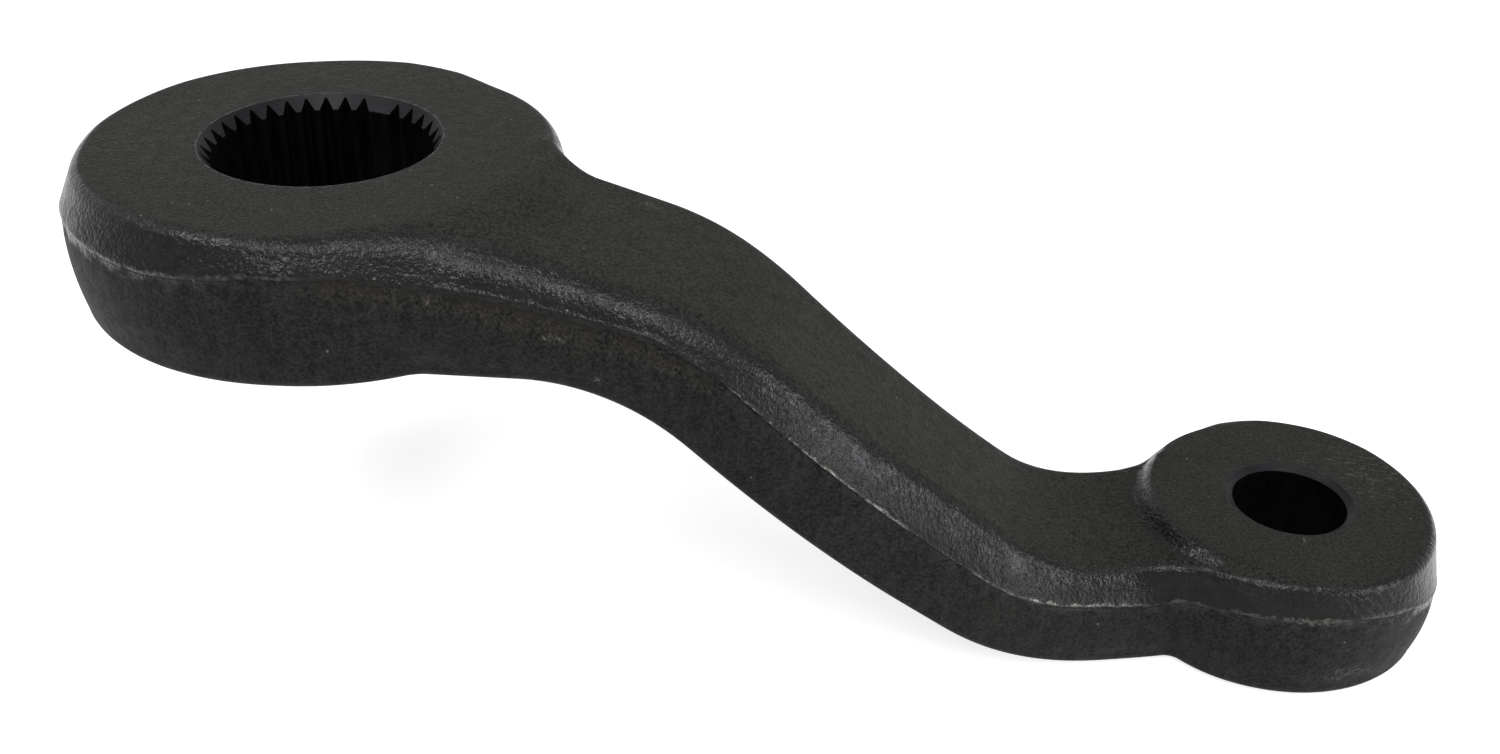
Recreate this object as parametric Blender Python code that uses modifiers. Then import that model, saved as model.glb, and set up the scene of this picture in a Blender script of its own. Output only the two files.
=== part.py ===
"""Pitman arm of a vehicle's steering gear: one solid steel forging, then machined.

Frame, in metres: +Z up along the splined bore, whose centre on the upper face is the
origin. +X points to the stud bore, which is parallel to the splined bore and lower.

The forging is a closed skin. Its plan outline at the die parting is a chain of tangent
arcs and edges, its top and underside follow side profiles, and from the parting both
walls draw in with draft to rounded edges. Then the two bores are cut.
"""

import math

import bmesh
import bpy
import numpy as np
from mathutils import Vector
from mathutils.geometry import delaunay_2d_cdt

MM = 0.001

# Centres, in millimetres
BORE_DISTANCE = 143.0
DROP = 45.2

# Splined boss, outline at the parting
BIG_RADIUS = 35.4
BIG_CENTRE = (-0.4, 0.0)
BIG_THICK = 21.5

# Stud boss, outline at the parting
SMALL_RADIUS = 23.1
SMALL_CENTRE = (BORE_DISTANCE - 0.7, 0.3)
SMALL_THICK = 19.9

# Where the arm leaves the splined boss and where it reaches the stud boss, along X
ARM_START = BIG_RADIUS + 4.6
ARM_END = BORE_DISTANCE - SMALL_RADIUS - 7.9
ARM_MIDDLE = 0.5 * (ARM_START + ARM_END)

# Arm edges in plan, from the splined boss to the stud boss, with their corner radius
FAR_EDGE = ((ARM_START + 6.0, 2.9), (ARM_MIDDLE + 8.3, -3.5), (ARM_END, 7.1))
NEAR_EDGE = ((ARM_START, -30.6), (ARM_MIDDLE - 4.4, -34.4), (ARM_END, -21.6))
EDGE_CORNER = 80.0

# Fillets between each edge and each boss. At its foot the near wall has sharper ones of its own.
FAR_BIG_FILLET = 5.7
NEAR_BIG_FILLET = 52.0
NEAR_BIG_FOOT_FILLET = 2.0
FAR_SMALL_FILLET = 11.4
NEAR_SMALL_FILLET = 9.0
NEAR_SMALL_FOOT_FILLET = 1.0

# Side profiles of the arm as x, z, with corner radii
STUD_FOOT = -DROP - SMALL_THICK
TOP_PROFILE = (
    (ARM_START - 20.0, 0.0), (ARM_START + 21.2, -7.5),
    (ARM_END - 2.1, -DROP - 4.9), (BORE_DISTANCE - 8.0, -DROP - 0.7),
)
TOP_CORNERS = (40.0, 26.0)
UNDER_PROFILE = (
    (ARM_START - 20.0, -BIG_THICK - 0.3), (ARM_START + 7.8, -BIG_THICK + 3.5),
    (ARM_END - 8.2, STUD_FOOT + 0.9), (BORE_DISTANCE - 8.0, STUD_FOOT - 0.6),
)
UNDER_CORNERS = (30.0, 40.0)
PARTING_PROFILE = (
    (-BIG_RADIUS, -7.4), (4.4 - BIG_RADIUS, -5.8), (-12.0, -5.6), (3.0, -4.0), (13.0, -4.4), (20.5, -6.3),
    (ARM_START + 17.6, -10.5), (ARM_END - 7.8, -DROP - 6.1), (BORE_DISTANCE - 21.0, -DROP - 8.3),
    (BORE_DISTANCE - 8.0, -DROP - 5.5), (BORE_DISTANCE + 8.0, -DROP - 4.3),
    (BORE_DISTANCE + SMALL_RADIUS - 8.1, -DROP - 5.4), (BORE_DISTANCE + SMALL_RADIUS, -DROP - 9.3),
)
PARTING_CORNERS = (10.0, 20.0, 12.0, 10.0, 10.0, 30.0, 25.0, 10.0, 10.0, 10.0, 6.0)

# Flat boss faces as radius, and the width over which the arm blends into each
TOP_BIG_FACE = (BIG_RADIUS - 5.4, 10.0)
TOP_SMALL_FACE = (SMALL_RADIUS - 3.5, 2.0)
UNDER_BIG_FACE = (BIG_RADIUS - 3.9, 3.5)
UNDER_SMALL_FACE = (SMALL_RADIUS - 3.1, 4.0)
ARM_SIDE_RUN = 12.0

# Walls and edges of the splined boss, the arm and the stud boss
LOWER_DRAFTS = (4.8, 4.0, 5.8)
LOWER_BULGES = (0.7, 0.25, 0.5)
TOP_ROUNDS = (2.6, 3.4, 1.6)
UNDER_ROUND = 2.0
WALL_RUN = 30.0
FLASH_PROUD = 0.2
FLASH_HALF_HEIGHT = 0.5

# Draft above the parting, for each boss at azimuths round it
ARM_UPPER_DRAFT = 17.0
BIG_UPPER_DRAFTS = (
    (-180.0, 18.0), (-125.0, 25.0), (-90.0, 27.0), (-40.0, 22.0), (5.0, 8.0),
    (30.0, 15.0), (60.0, 39.0), (95.0, 35.0), (130.0, 27.0), (180.0, 18.0),
)
SMALL_UPPER_DRAFTS = ((-180.0, 4.0), (-90.0, 13.0), (10.0, 12.0), (90.0, 12.0), (180.0, 4.0))
DRAFT_RUN = 12.0
EDGE_REACH = 4.0

# The near side of the arm rolls over more widely. At stations along X: the round, the draft, how far the
# parting lies above the widest line and inside it, and how proud the flash stands.
NEAR_LIMIT = -0.4 * BIG_RADIUS
NEAR_RUN = 8.0
NEAR_STATIONS = (
    ARM_START - 36.0, ARM_START - 24.0, ARM_START - 12.0, ARM_START + 6.0, ARM_START + 20.0,
    ARM_START + 32.0, ARM_START + 44.0, ARM_END - 8.0, ARM_END + 6.0, ARM_END + 16.0,
)
NEAR_ROUNDS = (2.0, 4.0, 7.5, 8.0, 5.5, 3.5, 3.0, 2.6, 2.0, 1.6)
NEAR_DRAFTS = (26.0, 22.0, 15.0, 15.0, 20.0, 27.0, 28.0, 28.0, 24.0, 24.0)
NEAR_DROPS = (0.0, 1.5, 2.6, 2.8, 2.4, 1.0, 0.2, 0.0, 0.0, 0.0)
NEAR_INSETS = (0.0, 0.4, 0.8, 0.8, 0.7, 0.3, 0.0, 0.0, 0.0, 0.0)
NEAR_FLASH = (0.2, 0.2, 0.2, 0.2, 0.3, 0.45, 0.5, 0.5, 0.4, 0.2)

# Splined bore: radii at the upper face
SPLINES = 36
MASTER_AZIMUTH = 77.7
SPLINE_ROOT = 16.63
SPLINE_TIP = SPLINE_ROOT - 1.07
SPLINE_TAPER = 1.5
ROOT_SHARE = 0.05
TIP_SHARE = 0.38
BIG_CHAMFER_RADIUS = SPLINE_ROOT + 0.37
BIG_CHAMFER_SLOPE = 35.5
BIG_BACK_CHAMFER = 1.6

# Stud bore: it opens downwards, where the ball stud enters
STUD_RADIUS = 8.25
STUD_TAPER = 1.0 / 16.0
STUD_CHAMFER_RADIUS = STUD_RADIUS + 1.02
STUD_CHAMFER_DEPTH = 0.74
STUD_BACK_CHAMFER = 0.8

# Fineness: segments of each stretch of the outline, and gaps between cap points
BIG_SEGMENTS = 56
SMALL_SEGMENTS = 34
FILLET_SEGMENTS = 6
EDGE_SEGMENTS = 20
STEP_SEGMENTS = 8
STEP_START = ARM_END + 2.0
CAP_GAP = 4.0
CIRCLE_SEGMENTS = 72
BLEND_ARCS = 5
BLEND_GAP = 1.8
BLEND_TURN = 1.5
GUARD_INSET = 1.2
BORE_STEPS = 72

# How far the cutters stand out of the faces that they cut
OVERSHOOT = 1.5


def clear_scene():
    for item in list(bpy.data.objects):
        bpy.data.objects.remove(item, do_unlink=True)


def new_collection(name, hidden):
    collection = bpy.data.collections.new(name)
    bpy.context.scene.collection.children.link(collection)
    collection.hide_render = hidden
    return collection


def arc(centre, radius, start, turn, segments):
    """Points of an arc in plan, both ends included. Angles in radians."""
    angle = start + turn * np.linspace(0.0, 1.0, segments + 1)
    return np.stack([centre[0] + radius * np.cos(angle), centre[1] + radius * np.sin(angle)], 1)


def short_turn(start, end):
    return (end - start + math.pi) % (2.0 * math.pi) - math.pi


def angle_of(vector):
    return math.atan2(vector[1], vector[0])


def unit(vector):
    return vector / np.linalg.norm(vector)


def rounded(points, corners, segments=12):
    """A polyline with each inner corner replaced by an arc of its own radius.

    Where a leg is too short for its arcs, each arc is limited to its share of the leg.
    """
    points = [np.array(point, float) for point in points]
    last = len(points) - 2
    line = [points[:1]]
    for index, radius in enumerate(corners):
        before, corner, after = points[index:index + 3]
        room_back = np.linalg.norm(before - corner) * (0.9 if index == 0 else 0.5)
        room_ahead = np.linalg.norm(after - corner) * (0.9 if index + 1 == last else 0.5)
        back = unit(before - corner)
        ahead = unit(after - corner)
        half = 0.5 * math.acos(float(np.clip(back @ ahead, -1.0, 1.0)))
        reach = min(radius / math.tan(half), room_back, room_ahead)
        radius = reach * math.tan(half)
        centre = corner + unit(back + ahead) * radius / math.sin(half)
        start = angle_of(corner + back * reach - centre)
        turn = short_turn(start, angle_of(corner + ahead * reach - centre))
        line.append(arc(centre, radius, start, turn, segments))
    line.append(points[-1:])
    return np.concatenate(line)


def fillet_centre(boss, boss_radius, edge, inner, outward, radius):
    """Centre of the fillet that touches the boss circle and the edge's first segment."""
    along = unit(inner - edge)
    start = edge + outward * radius - boss
    toward = start @ along
    reach = math.sqrt(toward**2 - start @ start + (boss_radius + radius) ** 2)
    return edge + outward * radius + along * (reach - toward)


def side_fillets(edge, side, big_radius, small_radius):
    """Fillet centres and edge normals of one arm edge, at the splined and the stud boss."""
    found = []
    ends = (
        (np.array(BIG_CENTRE), BIG_RADIUS, edge[0], edge[1], big_radius, side),
        (np.array(SMALL_CENTRE), SMALL_RADIUS, edge[-1], edge[-2], small_radius, -side),
    )
    for boss, boss_radius, first, inner, radius, hand in ends:
        along = unit(inner - first)
        outward = hand * np.array([-along[1], along[0]])
        centre = fillet_centre(boss, boss_radius, first, inner, outward, radius)
        found.append((centre, outward))
    return found


def edge_run(edge, start, end):
    """The edge between its two fillets at even stations, closer beside the step at the stud boss."""
    inner = edge[(edge[:, 0] > start[0] + 0.5) & (edge[:, 0] < end[0] - 0.5)]
    run = np.concatenate([[start], inner, [end]])
    length = np.append(0.0, np.cumsum(np.linalg.norm(np.diff(run, axis=0), axis=1)))
    split = np.interp(STEP_START, run[:, 0], length)
    wide = np.linspace(0.0, split, EDGE_SEGMENTS + 1)
    close = np.linspace(split, length[-1], STEP_SEGMENTS + 1)
    stations = np.concatenate([wide, close[1:]])
    return np.stack([np.interp(stations, length, run[:, axis]) for axis in (0, 1)], 1)


def outline(near_big_radius, near_small_radius):
    """Closed plan outline, counter-clockwise from the stud boss's near side.

    Each call gives the same number of points, so outlines with unlike fillets can be lofted.
    """
    big = np.array(BIG_CENTRE)
    small = np.array(SMALL_CENTRE)
    far = rounded(FAR_EDGE, (EDGE_CORNER,))
    near = rounded(NEAR_EDGE, (EDGE_CORNER,))
    (far_big, out_fb), (far_small, out_fs) = side_fillets(far, 1, FAR_BIG_FILLET, FAR_SMALL_FILLET)
    (near_big, out_nb), (near_small, out_ns) = side_fillets(near, -1, near_big_radius, near_small_radius)
    far_run = edge_run(far, far_big - out_fb * FAR_BIG_FILLET, far_small - out_fs * FAR_SMALL_FILLET)
    near_run = edge_run(near, near_big - out_nb * near_big_radius, near_small - out_ns * near_small_radius)

    def concave(centre, radius, first, last):
        start = angle_of(first)
        return arc(centre, radius, start, short_turn(start, angle_of(last)), FILLET_SEGMENTS)

    def convex(centre, radius, first, last, segments):
        start = angle_of(first)
        return arc(centre, radius, start, (angle_of(last) - start) % (2.0 * math.pi), segments)

    chain = [
        convex(small, SMALL_RADIUS, near_small - small, far_small - small, SMALL_SEGMENTS),
        concave(far_small, FAR_SMALL_FILLET, small - far_small, -out_fs)[1:],
        far_run[::-1][1:],
        concave(far_big, FAR_BIG_FILLET, -out_fb, big - far_big)[1:],
        convex(big, BIG_RADIUS, far_big - big, near_big - big, BIG_SEGMENTS)[1:],
        concave(near_big, near_big_radius, big - near_big, -out_nb)[1:],
        near_run[1:],
        concave(near_small, near_small_radius, -out_ns, small - near_small)[1:-1],
    ]
    return np.concatenate(chain)


def outward_normals(line):
    tangent = np.roll(line, -1, 0) - np.roll(line, 1, 0)
    tangent /= np.linalg.norm(tangent, axis=1)[:, None]
    return np.stack([tangent[:, 1], -tangent[:, 0]], 1)


def ease(value):
    """A smooth step from 0 to 1."""
    value = np.clip(value, 0.0, 1.0)
    return value * value * (3.0 - 2.0 * value)


def level(plan, profile, big_level, small_level, big_face, small_face):
    """Height of the top or the underside over plan points: flat bosses, arm between them."""
    x = plan[:, 0]
    arm = np.interp(x, profile[:, 0], profile[:, 1])
    from_big = np.hypot(x - BIG_CENTRE[0], plan[:, 1] - BIG_CENTRE[1])
    from_small = np.hypot(x - SMALL_CENTRE[0], plan[:, 1] - SMALL_CENTRE[1])
    big_share = ease((from_big - big_face[0]) / big_face[1]) * ease(x / ARM_SIDE_RUN)
    small_share = ease((from_small - small_face[0]) / small_face[1])
    small_share = small_share * ease((BORE_DISTANCE - x) / ARM_SIDE_RUN)
    at_big = big_level + (arm - big_level) * big_share
    at_small = small_level + (arm - small_level) * small_share
    return np.where(x < 0.5 * BORE_DISTANCE, at_big, at_small)


def top_level(plan):
    profile = rounded(TOP_PROFILE, TOP_CORNERS, 16)
    return level(plan, profile, 0.0, -DROP, TOP_BIG_FACE, TOP_SMALL_FACE)


def under_level(plan):
    profile = rounded(UNDER_PROFILE, UNDER_CORNERS, 16)
    return level(plan, profile, -BIG_THICK, STUD_FOOT, UNDER_BIG_FACE, UNDER_SMALL_FACE)


def by_zone(line, values):
    """A wall dimension along the outline: its boss value, easing into the arm's value."""
    at_big, at_arm, at_small = values
    from_big = np.hypot(line[:, 0] - BIG_CENTRE[0], line[:, 1] - BIG_CENTRE[1]) - BIG_RADIUS
    from_small = np.hypot(line[:, 0] - SMALL_CENTRE[0], line[:, 1] - SMALL_CENTRE[1]) - SMALL_RADIUS
    near_big = at_big + (at_arm - at_big) * ease(from_big / WALL_RUN)
    near_small = at_small + (at_arm - at_small) * ease(from_small / WALL_RUN)
    return np.where(line[:, 0] < 0.5 * BORE_DISTANCE, near_big, near_small)


def parting_level(line):
    profile = rounded(PARTING_PROFILE, PARTING_CORNERS, 10)
    return np.interp(line[:, 0], profile[:, 0], profile[:, 1])


def smoothed(places, stations, values, run):
    """Values at their stations, interpolated and averaged over the run to each side."""
    shifts = np.linspace(-run, run, 7)
    return np.mean([np.interp(places + shift, stations, values) for shift in shifts], 0)


def near_value(line, values, otherwise):
    """A dimension of the arm's near side at its stations, easing into another value elsewhere."""
    x = line[:, 0]
    near = ease((NEAR_LIMIT - line[:, 1]) / (0.5 * NEAR_RUN))
    near = near * ease((x - NEAR_STATIONS[0]) / NEAR_RUN)
    near = near * ease((NEAR_STATIONS[-1] - x) / NEAR_RUN)
    return otherwise + (smoothed(x, NEAR_STATIONS, values, 0.75 * NEAR_RUN) - otherwise) * near


def upper_drafts(line):
    """Draft above the parting, in degrees."""
    bosses = []
    for centre, table in ((BIG_CENTRE, BIG_UPPER_DRAFTS), (SMALL_CENTRE, SMALL_UPPER_DRAFTS)):
        azimuths, drafts = zip(*table)
        around = np.degrees(np.arctan2(line[:, 1] - centre[1], line[:, 0] - centre[0]))
        bosses.append(smoothed(around, azimuths, drafts, DRAFT_RUN))
    return near_value(line, NEAR_DRAFTS, by_zone(line, (bosses[0], ARM_UPPER_DRAFT, bosses[1])))


def under_rings(line, segments=4):
    """Rings of the rounded edge between the underside and the lower wall."""
    normal = outward_normals(line)
    slope = np.tan(np.radians(by_zone(line, LOWER_DRAFTS)))
    bottom = under_level(line - normal * (UNDER_ROUND + 1.0))
    widest = parting_level(line) - near_value(line, NEAR_DROPS, 0.0)
    draw = (widest - bottom - UNDER_ROUND) * slope
    rings = []
    for angle in np.linspace(0.0, 0.5 * math.pi, segments + 1):
        plan = line - normal * (draw + UNDER_ROUND * (1.0 - math.sin(angle)))[:, None]
        rings.append(np.column_stack([plan, under_level(plan) + UNDER_ROUND * (1.0 - math.cos(angle))]))
    return rings


def wall_rings(line, foot, widest, segments=4):
    """Rings of the lower wall between its foot and the widest line, bulging at half its height."""
    normal = outward_normals(line)
    bulge = by_zone(line, LOWER_BULGES)
    rings = []
    for share in np.linspace(0.0, 1.0, segments + 1)[1:-1]:
        ring = foot + (widest - foot) * share
        ring[:, :2] += normal * (4.0 * share * (1.0 - share) * bulge)[:, None]
        rings.append(ring)
    return rings


def top_rings(line, segments=6):
    """Rings of the rounded edge between the upper wall and the top."""
    normal = outward_normals(line)
    draft = np.radians(upper_drafts(line))
    inset = near_value(line, NEAR_INSETS, 0.0)
    parting = parting_level(line)
    radius = near_value(line, NEAR_ROUNDS, by_zone(line, TOP_ROUNDS))
    top = top_level(line - normal * (inset + EDGE_REACH)[:, None])
    radius = np.minimum(radius, 0.85 * (top - parting) / (1.0 - np.sin(draft)))
    draw = inset + (top - parting - radius * (1.0 - np.sin(draft))) * np.tan(draft)
    rings = []
    for share in np.linspace(0.0, 1.0, segments + 1):
        angle = draft + share * (0.5 * math.pi - draft)
        plan = line - normal * (draw + radius * (np.cos(draft) - np.cos(angle)))[:, None]
        rings.append(np.column_stack([plan, top_level(plan) - radius * (1.0 - np.sin(angle))]))
    return rings


def parting_rings(line):
    """The widest line, and above it the trimmed flash: a low ridge all round the parting."""
    normal = outward_normals(line)
    parting = parting_level(line)
    proud = near_value(line, NEAR_FLASH, FLASH_PROUD)
    inset = near_value(line, NEAR_INSETS, 0.0)
    drop = near_value(line, NEAR_DROPS, 0.0)
    rings = [np.column_stack([line, parting - drop - 1.6 * FLASH_HALF_HEIGHT])]
    for height, share in ((-1.0, 0.0), (0.0, 1.0), (1.0, 0.0)):
        plan = line + normal * (share * proud - inset)[:, None]
        rings.append(np.column_stack([plan, parting + height * FLASH_HALF_HEIGHT]))
    return rings


def inside(points, ring):
    """Which plan points lie inside a closed ring."""
    x = points[:, 0][:, None]
    y = points[:, 1][:, None]
    x0 = ring[:, 0]
    y0 = ring[:, 1]
    x1 = np.roll(x0, -1)
    y1 = np.roll(y0, -1)
    crosses = (y0 > y) != (y1 > y)
    with np.errstate(divide="ignore", invalid="ignore"):
        at = x0 + (y - y0) * (x1 - x0) / (y1 - y0)
    return (crosses & (x < at)).sum(1) % 2 == 1


def spaced(points, kept, gap):
    """Those points that are at least the gap away from all the kept ones."""
    if len(points) == 0:
        return points
    away = np.hypot(points[:, None, 0] - kept[None, :, 0], points[:, None, 1] - kept[None, :, 1])
    return points[away.min(1) > gap]


def cap_points(ring, big_face, small_face):
    """Plan points inside a cap: circles on the boss faces, arcs where they blend, a grid along the arm."""
    border = ring[:, :2]
    found = []
    for centre, face, middle in ((BIG_CENTRE, big_face, 0.0), (SMALL_CENTRE, small_face, math.pi)):
        radius = face[0] - GUARD_INSET
        found.append(arc(centre, radius, 0.0, 2.0 * math.pi, CIRCLE_SEGMENTS)[1:])
        segments = round(2.0 * BLEND_TURN * face[0] / BLEND_GAP)
        for share in np.linspace(0.0, 1.0, BLEND_ARCS):
            radius = face[0] + share * face[1]
            points = arc(centre, radius, middle - BLEND_TURN, 2.0 * BLEND_TURN, segments)
            found.append(spaced(points[inside(points, border)], border, 0.7))
    found = np.concatenate(found)
    across = np.arange(0.0, BORE_DISTANCE, CAP_GAP)
    along = np.arange(-BIG_RADIUS, BIG_RADIUS, 1.4 * CAP_GAP)
    grid = np.stack(np.meshgrid(across, along), -1).reshape(-1, 2)
    for centre, face in ((BIG_CENTRE, big_face), (SMALL_CENTRE, small_face)):
        away = np.hypot(grid[:, 0] - centre[0], grid[:, 1] - centre[1])
        grid = grid[away > sum(face) + 0.4 * CAP_GAP]
    grid = spaced(grid[inside(grid, border)], border, 0.45 * CAP_GAP)
    return np.concatenate([found, grid])


def add_cap(mesh, ring_verts, ring, surface, big_face, small_face, upward):
    """Closes an end ring with a triangulated cap that follows its surface."""
    inner = cap_points(ring, big_face, small_face)
    plan = [Vector(point) for point in ring[:, :2]] + [Vector(point) for point in inner]
    border = [list(range(len(ring)))]
    points, _, faces, origins, _, _ = delaunay_2d_cdt(plan, [], border, 1, 1e-6)
    heights = surface(np.array([[point.x, point.y] for point in points]))
    verts = []
    for point, origin, height in zip(points, origins, heights):
        ring_index = [index for index in origin if index < len(ring)]
        if ring_index:
            verts.append(ring_verts[ring_index[0]])
        else:
            verts.append(mesh.verts.new((point.x * MM, point.y * MM, height * MM)))
    for face in faces:
        corners = [verts[index] for index in face]
        mesh.faces.new(corners if upward else corners[::-1])


def make_forging(collection):
    """The closed skin of the forging: lofted rings with a cap at each end."""
    line = outline(NEAR_BIG_FILLET, NEAR_SMALL_FILLET)
    foot = under_rings(outline(NEAR_BIG_FOOT_FILLET, NEAR_SMALL_FOOT_FILLET))
    parting = parting_rings(line)
    rings = foot + wall_rings(line, foot[-1], parting[0]) + parting + top_rings(line)
    mesh = bmesh.new()
    verts = [[mesh.verts.new(Vector(point) * MM) for point in ring] for ring in rings]
    count = len(line)
    for lower, upper in zip(verts, verts[1:]):
        for index in range(count):
            after = (index + 1) % count
            mesh.faces.new((lower[index], lower[after], upper[after], upper[index]))
    add_cap(mesh, verts[-1], rings[-1], top_level, TOP_BIG_FACE, TOP_SMALL_FACE, True)
    add_cap(mesh, verts[0], rings[0], under_level, UNDER_BIG_FACE, UNDER_SMALL_FACE, False)
    loose = [vert for vert in mesh.verts if not vert.link_faces]
    bmesh.ops.delete(mesh, geom=loose, context="VERTS")
    bmesh.ops.triangulate(mesh, faces=mesh.faces[:])
    return finish_mesh(mesh, "pitman_arm", collection)


def finish_mesh(mesh, name, collection):
    data = bpy.data.meshes.new(name)
    mesh.to_mesh(data)
    mesh.free()
    item = bpy.data.objects.new(name, data)
    collection.objects.link(item)
    return item


def make_cutter(item):
    item.hide_render = True
    item.display_type = "WIRE"
    return item


def turned_cutter(name, profile, centre, collection):
    """A body turned about Z. The profile runs from its top to its bottom on the axis."""
    data = bpy.data.meshes.new(name)
    points = [(radius * MM, 0.0, height * MM) for radius, height in profile]
    data.from_pydata(points, [(index, index + 1) for index in range(len(points) - 1)], [])
    item = bpy.data.objects.new(name, data)
    item.location = (centre * MM, 0.0, 0.0)
    collection.objects.link(item)
    screw = item.modifiers.new("Turn", "SCREW")
    screw.axis = "Z"
    screw.steps = BORE_STEPS
    screw.render_steps = BORE_STEPS
    screw.use_merge_vertices = True
    screw.merge_threshold = 0.00001
    return make_cutter(item)


def splined_core(collection):
    """The splined bore out to the tooth tips, with the chamfer at each face."""
    slope = math.tan(math.radians(BIG_CHAMFER_SLOPE))
    taper = math.tan(math.radians(SPLINE_TAPER))
    depth = (BIG_CHAMFER_RADIUS - SPLINE_TIP) / slope
    bottom_tip = SPLINE_TIP - taper * BIG_THICK
    profile = (
        (0.0, OVERSHOOT),
        (BIG_CHAMFER_RADIUS + slope * OVERSHOOT, OVERSHOOT),
        (SPLINE_TIP - taper * depth, -depth),
        (bottom_tip, -BIG_THICK + BIG_BACK_CHAMFER),
        (bottom_tip + BIG_BACK_CHAMFER + OVERSHOOT, -BIG_THICK - OVERSHOOT),
        (0.0, -BIG_THICK - OVERSHOOT),
    )
    return turned_cutter("splined_core", profile, 0.0, collection)


def stud_core(collection):
    """The tapered stud bore with its chamfers."""
    slope = (STUD_CHAMFER_RADIUS - STUD_RADIUS) / STUD_CHAMFER_DEPTH
    wide = STUD_RADIUS + STUD_TAPER * (SMALL_THICK - STUD_CHAMFER_DEPTH - STUD_BACK_CHAMFER)
    profile = (
        (0.0, -DROP + OVERSHOOT),
        (STUD_CHAMFER_RADIUS + slope * OVERSHOOT, -DROP + OVERSHOOT),
        (STUD_RADIUS, -DROP - STUD_CHAMFER_DEPTH),
        (wide, STUD_FOOT + STUD_BACK_CHAMFER),
        (wide + STUD_BACK_CHAMFER + OVERSHOOT, STUD_FOOT - OVERSHOOT),
        (0.0, STUD_FOOT - OVERSHOOT),
    )
    return turned_cutter("stud_core", profile, BORE_DISTANCE, collection)


def groove_section(shrink):
    """Plan points of all the spline grooves joined in one star, less the groove of the master land."""
    pitch = 2.0 * math.pi / SPLINES
    depth = SPLINE_ROOT - SPLINE_TIP
    inner = SPLINE_TIP - 0.25 * depth
    inner_share = TIP_SHARE + 0.25 * (TIP_SHARE - ROOT_SHARE)
    points = []
    for index in range(SPLINES):
        middle = math.radians(MASTER_AZIMUTH) + index * pitch
        if index == 0:
            corners = ((-inner_share, inner), (0.0, inner), (inner_share, inner))
        else:
            corners = ((-inner_share, inner), (-ROOT_SHARE, SPLINE_ROOT),
                       (ROOT_SHARE, SPLINE_ROOT), (inner_share, inner))
        for share, radius in corners:
            angle = middle + share * pitch
            points.append(((radius - shrink) * math.cos(angle), (radius - shrink) * math.sin(angle)))
    return points


def spline_cutter(collection):
    """The grooves: a tapered loft between the star at the top and the star at the bottom."""
    taper = math.tan(math.radians(SPLINE_TAPER))
    mesh = bmesh.new()
    rows = []
    for height in (-BIG_THICK - OVERSHOOT, OVERSHOOT):
        points = groove_section(-taper * height)
        rows.append([mesh.verts.new((x * MM, y * MM, height * MM)) for x, y in points])
    low, high = rows
    count = len(low)
    for index in range(count):
        after = (index + 1) % count
        mesh.faces.new((low[index], low[after], high[after], high[index]))
    mesh.faces.new(low[::-1])
    mesh.faces.new(high)
    bmesh.ops.triangulate(mesh, faces=mesh.faces[:])
    return make_cutter(finish_mesh(mesh, "spline_grooves", collection))


def cut(item, cutter):
    difference = item.modifiers.new("Cut " + cutter.name, "BOOLEAN")
    difference.operation = "DIFFERENCE"
    difference.solver = "EXACT"
    difference.object = cutter


def steel():
    material = bpy.data.materials.new("black_forged_steel")
    material.use_nodes = True
    shader = material.node_tree.nodes["Principled BSDF"]
    shader.inputs["Base Color"].default_value = (0.021, 0.021, 0.022, 1.0)
    shader.inputs["Metallic"].default_value = 0.35
    shader.inputs["Roughness"].default_value = 0.5
    return material


def main():
    clear_scene()
    parts = new_collection("Pitman arm", False)
    cutters = new_collection("Cutters", True)
    arm = make_forging(parts)
    arm.data.materials.append(steel())
    cut(arm, splined_core(cutters))
    cut(arm, spline_cutter(cutters))
    cut(arm, stud_core(cutters))
    arm.data.shade_smooth()
    arm.data.set_sharp_from_angle(angle=math.radians(35.0))


main()
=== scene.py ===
"""Looks of the pitman arm: a finely meshed copy of the forging, its worn black coat, studio and camera.

The row's frame is in metres. Sizes of the forging are in millimetres, as in the part's own source.
"""

import math

import bmesh
import bpy
import numpy as np
from mathutils import Matrix, Vector, noise
from mathutils.bvhtree import BVHTree
from mathutils.geometry import delaunay_2d_cdt

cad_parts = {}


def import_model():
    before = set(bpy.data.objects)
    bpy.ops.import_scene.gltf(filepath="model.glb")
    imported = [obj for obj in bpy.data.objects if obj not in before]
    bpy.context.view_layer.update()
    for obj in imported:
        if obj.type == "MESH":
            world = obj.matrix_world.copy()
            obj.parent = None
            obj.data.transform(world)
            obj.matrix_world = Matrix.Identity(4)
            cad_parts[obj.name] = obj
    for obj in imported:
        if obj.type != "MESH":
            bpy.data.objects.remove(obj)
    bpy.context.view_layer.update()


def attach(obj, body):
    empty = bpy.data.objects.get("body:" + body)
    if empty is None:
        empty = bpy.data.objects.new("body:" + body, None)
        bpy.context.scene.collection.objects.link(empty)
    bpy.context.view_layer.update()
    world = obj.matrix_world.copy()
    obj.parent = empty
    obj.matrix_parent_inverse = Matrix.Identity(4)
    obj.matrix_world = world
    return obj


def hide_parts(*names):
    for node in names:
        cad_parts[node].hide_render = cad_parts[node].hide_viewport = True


MM = 0.001

# Centres, in millimetres
BORE_DISTANCE = 143.0
DROP = 45.2

# Splined boss, outline at the parting
BIG_RADIUS = 35.4
BIG_CENTRE = (-0.4, 0.0)
BIG_THICK = 21.5

# Stud boss, outline at the parting
SMALL_RADIUS = 23.1
SMALL_CENTRE = (BORE_DISTANCE - 0.7, 0.3)
SMALL_THICK = 19.9

# Where the arm leaves the splined boss and where it reaches the stud boss, along X
ARM_START = BIG_RADIUS + 4.6
ARM_END = BORE_DISTANCE - SMALL_RADIUS - 7.9
ARM_MIDDLE = 0.5 * (ARM_START + ARM_END)

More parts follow.
